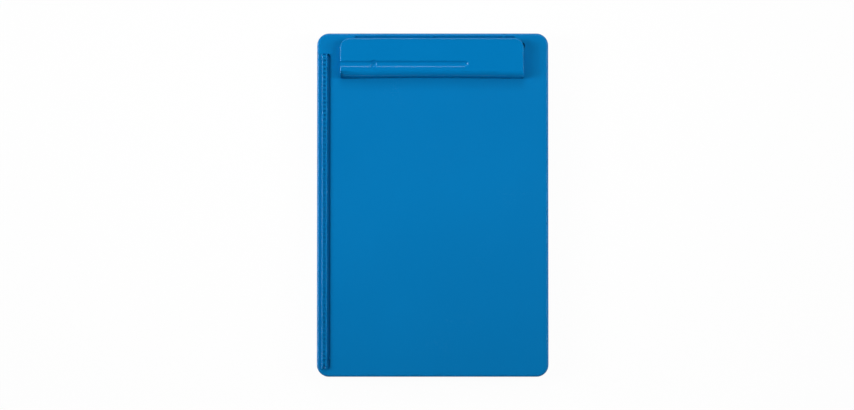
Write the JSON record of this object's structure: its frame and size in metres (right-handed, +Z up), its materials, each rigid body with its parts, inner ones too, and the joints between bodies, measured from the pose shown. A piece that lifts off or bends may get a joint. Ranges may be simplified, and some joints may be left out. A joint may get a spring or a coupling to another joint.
{
  "type": "storage clipboard box",
  "caption": "Slim A4 clipboard box: board lid hinged along a ladder rail, sprung clamp bar with a pen groove, tray with a pen divider, slide latch and rubber feet.",
  "frame": {"origin": "middle of the box on the surface that it lies on, below the centre of the board", "axes": "+X to the right across the board, away from the hinge; +Y along the board towards the clamp; +Z up, out of the writing surface"},
  "size_m": [0.231, 0.343, 0.0336],
  "materials": {
    "tray_plastic": "satin moulded, blue",
    "board_plastic": "satin moulded, blue",
    "clip_plastic": "semi-gloss moulded, blue",
    "rod_steel": "drawn",
    "screw_steel": "zinc plated",
    "spring_steel": "spring wire",
    "pad_rubber": "matte",
    "foot_rubber": "matte"
  },
  "bodies": {
    "tray": {"base_tray": "tray_plastic", "hinge_rod": "rod_steel", "pen_divider": "tray_plastic", "latch_spring": "spring_steel", "foot_1": "foot_rubber", "foot_2": "foot_rubber", "foot_3": "foot_rubber", "foot_4": "foot_rubber"},
    "lid": {"lid_plate": "board_plastic", "latch_keeper": "screw_steel", "rod_plug": "board_plastic", "clip_base": "tray_plastic", "clip_screws": "screw_steel", "clip_axle": "rod_steel", "clip_spring_left": "spring_steel", "clip_spring_right": "spring_steel"},
    "clip": {"clip_cover": "clip_plastic", "jaw_pad_left": "pad_rubber", "jaw_pad_right": "pad_rubber"},
    "latch": {"latch_slide": "clip_plastic"}
  },
  "joints": [
    {"name": "lid_hinge", "type": "hinge", "parent": "tray", "child": "lid", "pos_m": [-0.1092, 0, 0.021], "axis": [0, -1, 0], "range_deg": [0, 110]},
    {"name": "clip_hinge", "type": "hinge", "parent": "lid", "child": "clip", "pos_m": [-0.0007, 0.1552, 0.0284], "axis": [-1, 0, 0], "range_deg": [0, 25], "stiffness_Nm_per_rad": 0.3, "springref_deg": -34.38, "deforming": ["clip_spring_left", "clip_spring_right"]},
    {"name": "latch_travel", "type": "slide", "parent": "tray", "child": "latch", "axis": [0, 1, 0], "range_m": [0, 0.006], "deforming": ["latch_spring"]}
  ]
}
